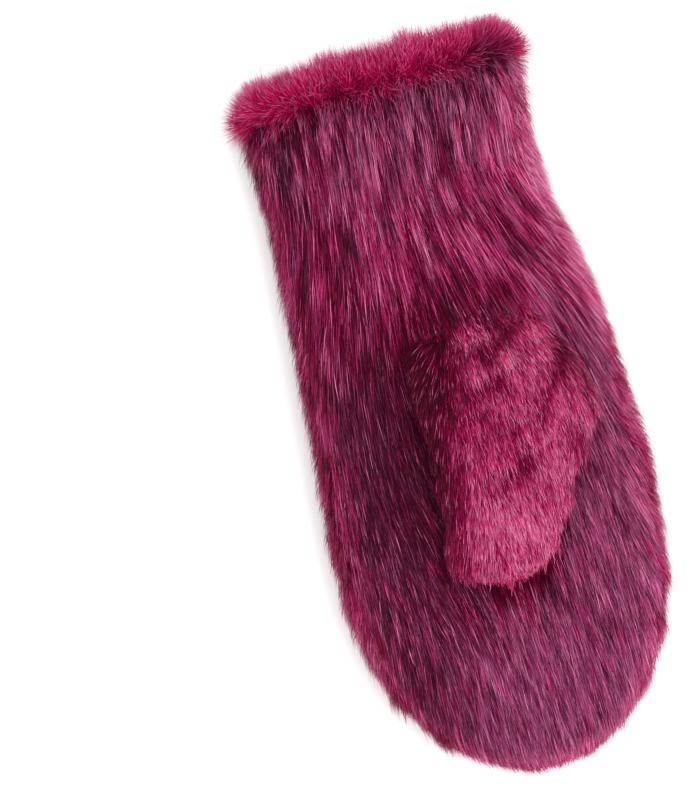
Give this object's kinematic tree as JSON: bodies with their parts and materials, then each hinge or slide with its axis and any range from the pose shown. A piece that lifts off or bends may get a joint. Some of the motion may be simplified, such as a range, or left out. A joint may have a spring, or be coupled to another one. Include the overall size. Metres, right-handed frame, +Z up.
{
  "type": "fur mitten",
  "caption": "Long fur mitten, palm up, with a broad rounded tip, a separate thumb lying over the palm and an open fur-edged cuff.",
  "frame": {"origin": "on the surface that the mitten lies on, under the middle of its length and width", "axes": "+Z up out of the palm, +Y towards the cuff, -Y towards the fingertips, +X towards the thumb side"},
  "size_m": [0.1344, 0.2995, 0.0729],
  "materials": {
    "back_fur": "glossy dyed fur on leather, magenta",
    "palm_fur": "dyed fur on leather, dark plum with magenta under it",
    "thumb_fur": "glossy dyed fur on leather, pink over crimson",
    "hem_fur": "short bright dyed fur turned over the cuff's edge"
  },
  "bodies": {
    "root": {"back_panel": "back_fur", "palm_panel": "palm_fur", "thumb": "thumb_fur", "cuff_hem": "hem_fur"}
  },
  "joints": []
}
